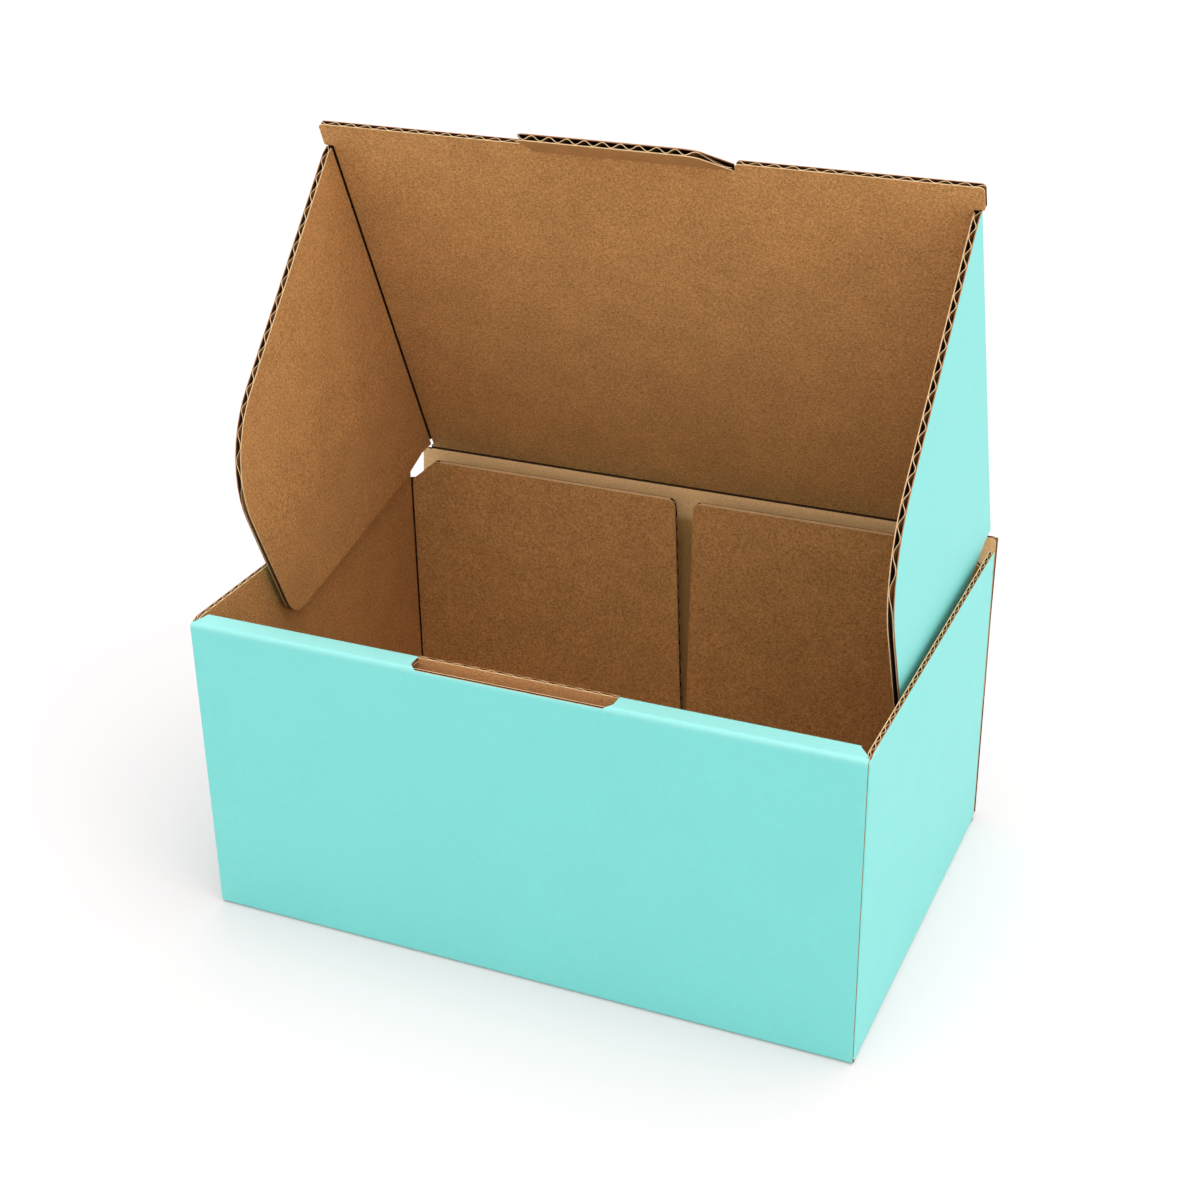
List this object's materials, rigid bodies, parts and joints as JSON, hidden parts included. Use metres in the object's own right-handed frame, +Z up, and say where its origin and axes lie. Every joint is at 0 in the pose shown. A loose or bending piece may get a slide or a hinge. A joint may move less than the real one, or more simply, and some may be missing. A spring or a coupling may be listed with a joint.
{
  "type": "mailer box",
  "caption": "Folded corrugated mailer box with a roll-over front wall, hinged lid with side wings, a tuck tab and rear flaps; teal outside, plain kraft inside.",
  "frame": {"origin": "middle of the underside of the tray's base", "axes": "+X to the right as seen from the front, +Y from the front wall to the back wall, +Z up"},
  "size_m": [0.2508, 0.1768, 0.2828],
  "materials": {
    "printed_board": "matte printed liner outside, bare kraft liner inside",
    "kraft_board": "matte bare kraft"
  },
  "bodies": {
    "tray": {"tray": "printed_board"},
    "back_wall": {"back_wall": "printed_board"},
    "lid": {"lid": "printed_board"},
    "left_wing": {"left_wing": "printed_board"},
    "right_wing": {"right_wing": "printed_board"},
    "tuck_tab": {"tuck_tab": "printed_board"},
    "left_rear_flap": {"left_rear_flap": "kraft_board"},
    "right_rear_flap": {"right_rear_flap": "kraft_board"}
  },
  "joints": [
    {"name": "back_wall_fold", "type": "hinge", "parent": "tray", "child": "back_wall", "pos_m": [0, 0.08275, 0.00125], "axis": [-1, 0, 0], "range_deg": [-4.07, 6.95]},
    {"name": "lid_fold", "type": "hinge", "parent": "back_wall", "child": "lid", "pos_m": [0, 0.09151, 0.12193], "axis": [-1, 0, 0], "range_deg": [-61.5, 105]},
    {"name": "right_wing_fold", "type": "hinge", "parent": "lid", "child": "right_wing", "pos_m": [0.1184, 0.09036, 0.12144], "axis": [-0.011, 0.3923, -0.9198], "range_deg": [0, 75]},
    {"name": "left_wing_fold", "type": "hinge", "parent": "lid", "child": "left_wing", "pos_m": [-0.1184, 0.09036, 0.12144], "axis": [-0.011, -0.3923, 0.9198], "range_deg": [0, 75]},
    {"name": "tuck_tab_fold", "type": "hinge", "parent": "lid", "child": "tuck_tab", "pos_m": [0, 0.02789, 0.27108], "axis": [-1, 0, 0], "range_deg": [-46.8, 44.6]},
    {"name": "left_rear_flap_fold", "type": "hinge", "parent": "tray", "child": "left_rear_flap", "pos_m": [-0.1229, 0.0786, 0], "axis": [0, 0, -1], "range_deg": [0, 60]},
    {"name": "right_rear_flap_fold", "type": "hinge", "parent": "tray", "child": "right_rear_flap", "pos_m": [0.1229, 0.0786, 0], "axis": [0, 0, 1], "range_deg": [0, 60]}
  ],
  "couplings": [
    {"joint": "back_wall_fold", "follows": "lid_fold", "ratio": 0.066135}
  ]
}
